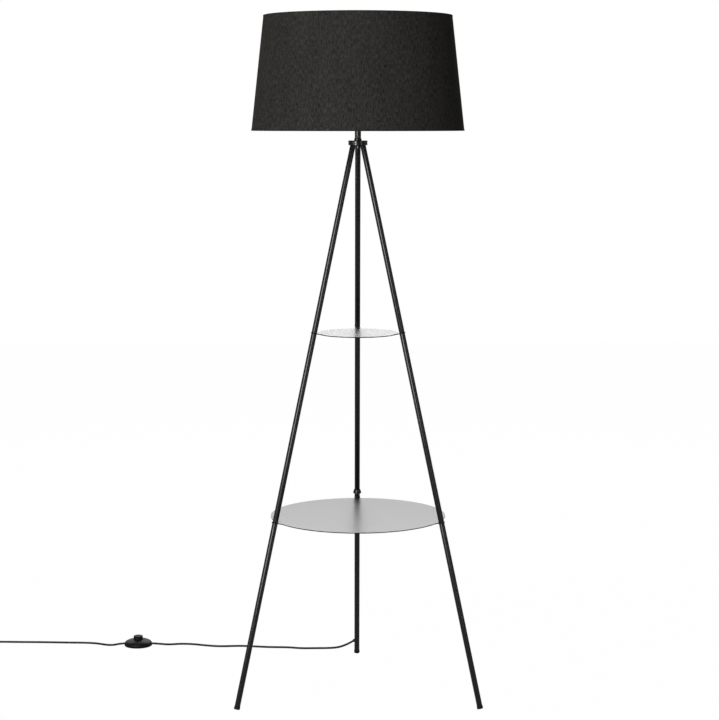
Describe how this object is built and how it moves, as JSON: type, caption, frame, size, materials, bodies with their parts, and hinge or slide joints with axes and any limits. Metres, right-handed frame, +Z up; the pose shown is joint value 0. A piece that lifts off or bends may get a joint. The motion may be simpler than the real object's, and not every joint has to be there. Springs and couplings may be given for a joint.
{
  "type": "shelf floor lamp",
  "caption": "Tripod floor lamp with three leaning tube legs, two round sheet shelves clamped between them, a tapered drum shade and a foot switch on its lead.",
  "frame": {"origin": "on the floor, at the axis of the tripod, hub and shade", "axes": "+Z up along the lamp's axis; +Y towards the back leg, whose foot the lead leaves; +X to the right seen from the front; the lead lies towards -X"},
  "size_m": [1.3275, 0.707, 1.5],
  "materials": {
    "leg_paint": "satin black powder coat on steel tube",
    "shelf_paint": "smooth satin dark powder coat on steel sheet",
    "hub_paint": "satin black paint on turned steel",
    "joint_steel": "turned, zinc plated",
    "foot_rubber": "moulded, matt",
    "shade_cloth": "black cotton weave laminated to a stiff styrene lining",
    "frame_wire": "black coated steel wire",
    "holder_black": "black phenolic, slightly glossy",
    "holder_white": "unglazed white insulating plastic",
    "contact_brass": "stamped, plain",
    "bulb_metal": "nickel bright, pressed",
    "bulb_white": "moulded, matt white",
    "bulb_opal": "opal diffuser, lightly glossy",
    "cord_black": "soft black PVC sheath, semi-matt",
    "core_sleeve": "thin coloured PVC sleeves",
    "switch_black": "moulded ABS, satin gloss",
    "button_grey": "moulded, finely sparked",
    "plug_black": "moulded soft PVC",
    "pin_nickel": "nickel plated brass",
    "spring_steel": "bright drawn wire",
    "tie_black": "soft flat strap"
  },
  "bodies": {
    "lamp": {"back_leg_collar": "hub_paint", "coil_tie": "tie_black", "cord_coil": "cord_black", "cord_leg_to_switch": "cord_black", "cord_switch_to_coil": "cord_black", "foot_cap_back": "foot_rubber", "foot_cap_left": "foot_rubber", "foot_cap_right": "foot_rubber", "hub_cover": "hub_paint", "hub_end_cap": "hub_paint", "hub_plate": "hub_paint", "hub_studs": "joint_steel", "joint_sockets_lower": "joint_steel", "joint_sockets_upper": "joint_steel", "joint_studs_lower": "joint_steel", "joint_studs_upper": "joint_steel", "lampholder_cap": "holder_black", "lampholder_contact": "contact_brass", "lampholder_insulator": "holder_white", "lampholder_screw_shell": "contact_brass", "lampholder_shell": "holder_black", "lead_bush": "cord_black", "lead_cores": "core_sleeve", "lead_in_leg": "cord_black", "leg_back_bottom": "leg_paint", "leg_back_middle": "leg_paint", "leg_back_top": "leg_paint", "leg_left_bottom": "leg_paint", "leg_left_middle": "leg_paint", "leg_left_top": "leg_paint", "leg_right_bottom": "leg_paint", "leg_right_middle": "leg_paint", "leg_right_top": "leg_paint", "plug_body": "plug_black", "plug_pins": "pin_nickel", "shade_clamp_rings": "holder_black", "shade_panel": "shade_cloth", "shade_ring_bottom": "frame_wire", "shade_ring_top": "frame_wire", "shade_spider": "frame_wire", "shelf_lower": "shelf_paint", "shelf_upper": "shelf_paint", "stem_lock_ring": "hub_paint", "stem_pipe": "joint_steel", "stem_tube": "hub_paint", "switch_block": "holder_white", "switch_contacts": "contact_brass", "switch_housing": "switch_black", "switch_pads": "foot_rubber", "switch_plate": "switch_black", "switch_screws": "joint_steel", "switch_spring": "spring_steel"},
    "bulb_foot": {"bulb_eyelet": "bulb_metal"},
    "bulb": {"bulb_cap": "bulb_metal", "bulb_housing": "bulb_white", "bulb_globe": "bulb_opal"},
    "foot_button": {"switch_button": "button_grey"}
  },
  "joints": [
    {"name": "bulb_rise", "type": "slide", "parent": "lamp", "child": "bulb_foot", "axis": [0, 0, 1], "range_m": [0, 0.0109]},
    {"name": "bulb_turn", "type": "hinge", "parent": "bulb_foot", "child": "bulb", "pos_m": [0, 0, 1.294], "axis": [0, 0, 1], "range_deg": [0, 1080]},
    {"name": "button_press", "type": "slide", "parent": "lamp", "child": "foot_button", "axis": [0, 0, -1], "range_m": [0, 0.004], "stiffness_N_per_m": 1000, "springref_m": -0.004, "deforming": ["switch_spring"]}
  ],
  "couplings": [
    {"joint": "bulb_rise", "follows": "bulb_turn", "m_per_rad": 0.00057614}
  ]
}
